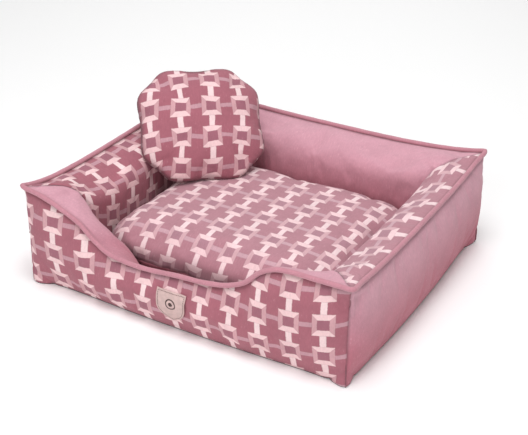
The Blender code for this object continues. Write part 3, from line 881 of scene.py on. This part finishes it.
pillow_turned = np.array(
    Matrix.Rotation(PILLOW_TURN, 3, "Z")
    @ Matrix.Rotation(math.pi / 2 - PILLOW_LEAN, 3, "X")
    @ Matrix.Rotation(PILLOW_ROLL, 3, "Z"))
pillow_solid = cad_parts["pillow_fill"].data
pillow_centre = (read_points(pillow_solid).min(axis=0) + read_points(pillow_solid).max(axis=0)) / 2


def pillow_outline(s, t):
    """The edge of a square with cut corners, ears at the eight corners and sides drawn in.

    Its reach is (x^14 + y^14 + d^14)^(-1/14) for the sides and the cut, times a ripple that
    is 1.4% out at each ear and as much in between.
    """
    angle = np.arctan2(t, s + 1e-12)
    x = np.abs(np.cos(angle)) / PILLOW_HALF[0]
    y = np.abs(np.sin(angle)) / PILLOW_HALF[1]
    cut = (sum(PILLOW_HALF) - PILLOW_CHAMFER) * math.sqrt(0.5)
    d = np.abs(np.cos(np.abs(angle) % (math.pi / 2) - math.pi / 4)) / cut
    reach = (x**22 + y**22 + d**22) ** (-1.0 / 22)
    reach = reach * (1.0 - 0.014 * np.cos(8.0 * angle))
    share = np.maximum(np.abs(s), np.abs(t))
    return reach * share * np.cos(angle), reach * share * np.sin(angle)


top, bottom, share = cushion_grid(
    61, 61, pillow_outline, PILLOW_RISE - 0.004, PILLOW_FULLNESS,
    PILLOW_RISE - 0.004, PILLOW_FULLNESS, PILLOW_EDGE)
across, along = spread(top, share)
front_uv = on_print(across + PRINT_LEAN * along, along, *PILLOW_PRINT)
top, bottom = sewn_cushion("pillow_cloth", top, bottom, pressure=3.0, slack=0.03,
                           cap=0.006, seam_hold=0.8)
turned = [face @ pillow_turned.T + pillow_centre for face in (top, bottom)]
# Painted seam shade round the knife-edged seam.
seam_shade_weight = np.exp(-(((1.0 - share) / 0.04) ** 2))
pillow_front = face_piece("pillow_front", turned[0], front_uv, printed_cloth, seam_shade_weight)
pillow_back = face_piece("pillow_back", turned[1], front_uv, printed_cloth, seam_shade_weight, -1)
for piece in (pillow_front, pillow_back):
    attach(piece, "pillow")
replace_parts(pillow_front, "pillow_front_panel", "pillow_fill")
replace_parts(pillow_back, "pillow_back_panel")

# Label -------------------------------------------------------------------------------------
# A shield of soft leather, moulded with a border and sewn to the front wall round its edge.
# It carries a plain ring and a dot as its mark. One side stands a little off the cloth.

label_low, label_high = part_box("label_patch")
LABEL_MIDDLE = ((label_low[0] + label_high[0]) / 2, (label_low[2] + label_high[2]) / 2)
LABEL_HALF = ((label_high[0] - label_low[0]) / 2, (label_high[2] - label_low[2]) / 2)
LABEL_THICKNESS = 0.0014
front_cloth = wall_points["front"][:, :OUTER_ROWS]


def on_front(x, z, proud):
    """Points on the front wall's cloth at places x and z, standing proud of it.

    x and z give fractional stations and rows, and the cloth between four points is bilinear.
    """
    middle = front_cloth[:, OUTER_ROWS // 2, 0]
    station = np.interp(x, middle, np.arange(len(middle)))
    column = front_cloth[int(np.mean(station)), :, 2]
    row = np.interp(z, column, np.arange(OUTER_ROWS))
    i, j = station.astype(int), row.astype(int)
    i = np.minimum(i, len(middle) - 2)
    j = np.minimum(j, OUTER_ROWS - 2)
    a, b = (station - i)[..., None], (row - j)[..., None]
    low = front_cloth[i, j] * (1 - a) + front_cloth[i + 1, j] * a
    high = front_cloth[i, j + 1] * (1 - a) + front_cloth[i + 1, j + 1] * a
    y = (low * (1 - b) + high * b)[..., 1]
    return np.stack([x, y - proud, z], axis=-1)


def shield_width(v):
    """Half width at height v from -1, tip, to 1, top: full above 0.1, (1 - r^1.9)^0.85 below."""
    r = np.clip((0.1 - v) / 1.1, 0.0, 1.0)
    return (1.0 - r**1.9) ** 0.85


def lift(x):
    """How far the label stands off: its right edge curls 2.5 mm away."""
    share = (x - LABEL_MIDDLE[0]) / LABEL_HALF[0]
    return 0.0006 + 0.0025 * np.clip(share, 0.0, 1.0) ** 3


def moulded(name, colour, roughness, grain, height):
    """Moulded soft leather: a pebbled grain, slow random changes of tone, and a satin coat."""
    material = bpy.data.materials.new(name)
    material.use_nodes = True
    tree = material.node_tree
    shader = tree.nodes["Principled BSDF"]
    shader.inputs["Roughness"].default_value = roughness
    shader.inputs["Specular IOR Level"].default_value = 0.4
    place = add_node(tree, "ShaderNodeTexCoord").outputs["Object"]
    pebbles = add_node(tree, "ShaderNodeTexVoronoi", {"Vector": place, "Scale": 1.0 / grain},
                       feature="SMOOTH_F1")
    slow = add_node(tree, "ShaderNodeTexNoise", {"Vector": place, "Scale": 120.0, "Detail": 3.0})
    bump = add_node(tree, "ShaderNodeBump", {
        "Height": pebbles.outputs["Distance"], "Strength": 0.4, "Distance": height})
    tree.links.new(bump.outputs["Normal"], shader.inputs["Normal"])
    tone = add_node(tree, "ShaderNodeMapRange", {
        "Value": slow.outputs["Fac"], "From Min": 0.3, "From Max": 0.7, "To Min": 0.88,
        "To Max": 1.08})
    ground = add_node(tree, "ShaderNodeRGB")
    ground.outputs[0].default_value = linear(colour)
    shaded = add_node(tree, "ShaderNodeVectorMath", {
        0: ground.outputs[0], "Scale": tone.outputs[0]}, operation="SCALE")
    tree.links.new(shaded.outputs[0], shader.inputs["Base Color"])
    return material


# Moulded leather gives soft pebbled highlights; its stamped mark is darker and a little glossier.
label_leather = moulded("moulded_label_leather", "cdb0ac", 0.55, 0.0011, 0.0003)
mark_leather = moulded("dark_stamped_leather", "4a3432", 0.5, 0.0011, 0.0002)
u, v = np.meshgrid(np.linspace(-1.0, 1.0, 57), np.linspace(-1.0, 1.0, 61), indexing="ij")
x = LABEL_MIDDLE[0] + LABEL_HALF[0] * u * shield_width(v)
z = LABEL_MIDDLE[1] + LABEL_HALF[1] * v
# A raised border: the face stands 0.5 mm higher within 8% of the edge.
edge = np.minimum(1.0 - np.abs(u), np.minimum(1.0 - v, (v + 1.0) * 1.5))
border = 0.0005 * np.exp(-((edge / 0.09) ** 4))
points = on_front(x, z, lift(x) + LABEL_THICKNESS + border)
mesh = grid_mesh("label", points, np.stack([x, z], axis=-1))
label = add_piece(mesh, label_leather, thickness=LABEL_THICKNESS, weld=0.00002)

EDGE_POINTS = 400
t = np.linspace(0.0, 1.0, EDGE_POINTS)
side_v = 1.0 - 2.0 * t
right_edge = np.stack([shield_width(side_v), side_v], axis=-1)
top_edge = np.stack([np.linspace(-1.0, 1.0, EDGE_POINTS), np.ones(EDGE_POINTS)], axis=-1)
left_edge = (right_edge * (-1.0, 1.0))[::-1]
outline = np.concatenate([top_edge[:-1], right_edge[:-1], left_edge[:-1]])


def stitch_row(inset, spacing):
    """Places and headings along the shield's outline, drawn in by an inset."""
    scale = 1.0 - inset / np.array(LABEL_HALF)
    path = outline * scale * LABEL_HALF + LABEL_MIDDLE
    far = np.concatenate([[0.0], np.cumsum(np.linalg.norm(np.diff(path, axis=0), axis=1))])
    count = int(far[-1] / spacing)
    at = (np.arange(count) + 0.5) / count * far[-1]
    place = np.stack([np.interp(at, far, path[:, k]) for k in (0, 1)], axis=-1)
    ahead = np.stack([np.interp(at + 0.0005, far, path[:, k]) for k in (0, 1)], axis=-1) - place
    return place, ahead / np.linalg.norm(ahead, axis=1, keepdims=True)


def stitches(name, place, ahead, length, radius, proud, material):
    """Short thread stitches: one ellipsoid of few faces for each, laid along its heading."""
    theta, phi = np.meshgrid(np.linspace(0.0, math.pi, 6), np.arange(8) * math.pi / 4,
                             indexing="ij")
    along = np.cos(theta) * length / 2
    side = np.sin(theta) * np.cos(phi) * radius
    out = np.sin(theta) * np.sin(phi) * radius
    x = place[:, 0, None, None] + ahead[:, 0, None, None] * along - ahead[:, 1, None, None] * side
    z = place[:, 1, None, None] + ahead[:, 1, None, None] * along + ahead[:, 0, None, None] * side
    points = on_front(x, z, lift(x) + proud + out)
    index = np.arange(points[..., 0].size).reshape(len(place), 6, 8)
    following = np.roll(index, -1, axis=2)
    quads = np.stack([index[:, :-1], index[:, 1:], following[:, 1:], following[:, :-1]], axis=-1)
    mesh = bpy.data.meshes.new(name)
    mesh.from_pydata(points.reshape(-1, 3).tolist(), [], quads.reshape(-1, 4).tolist())
    mesh.shade_smooth()
    return add_piece(mesh, material, weld=0.00002)


# Waxed thread is darker than the leather and smooth, so each stitch reads as a short dash.
thread = woven("waxed_thread", "6b4a4a", 0.6, 0.1, 0.0)
place, ahead = stitch_row(0.0028, 0.0026)
label_stitches = stitches("label_stitches", place, ahead, 0.0020, 0.00040,
                          LABEL_THICKNESS + 0.0005, thread)
for piece in (label, label_stitches):
    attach(piece, "bed")
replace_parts(label, "label_patch")


def ring_mark(name, centre, radius, width, proud):
    """A flat stamped ring, round in section: a torus squashed onto the label's face."""
    far, angle = np.meshgrid(np.linspace(0.0, 2.0 * math.pi, 65),
                             np.linspace(0.0, 2.0 * math.pi, 13), indexing="ij")
    reach = radius + width * np.cos(angle)
    x = centre[0] + reach * np.cos(far)
    z = centre[1] + reach * np.sin(far)
    points = on_front(x, z, lift(x) + proud + 0.3 * width * np.sin(angle))
    piece = add_piece(grid_mesh(name, points, np.stack([far, angle], axis=-1)), mark_leather,
                      weld=0.00005)
    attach(piece, "bed")
    return piece


mark_centre = (LABEL_MIDDLE[0], LABEL_MIDDLE[1] + 0.006)
ring_mark("label_ring", mark_centre, 0.0085, 0.0011, LABEL_THICKNESS)
ring_mark("label_dot", mark_centre, 0.0018, 0.0018, LABEL_THICKNESS)
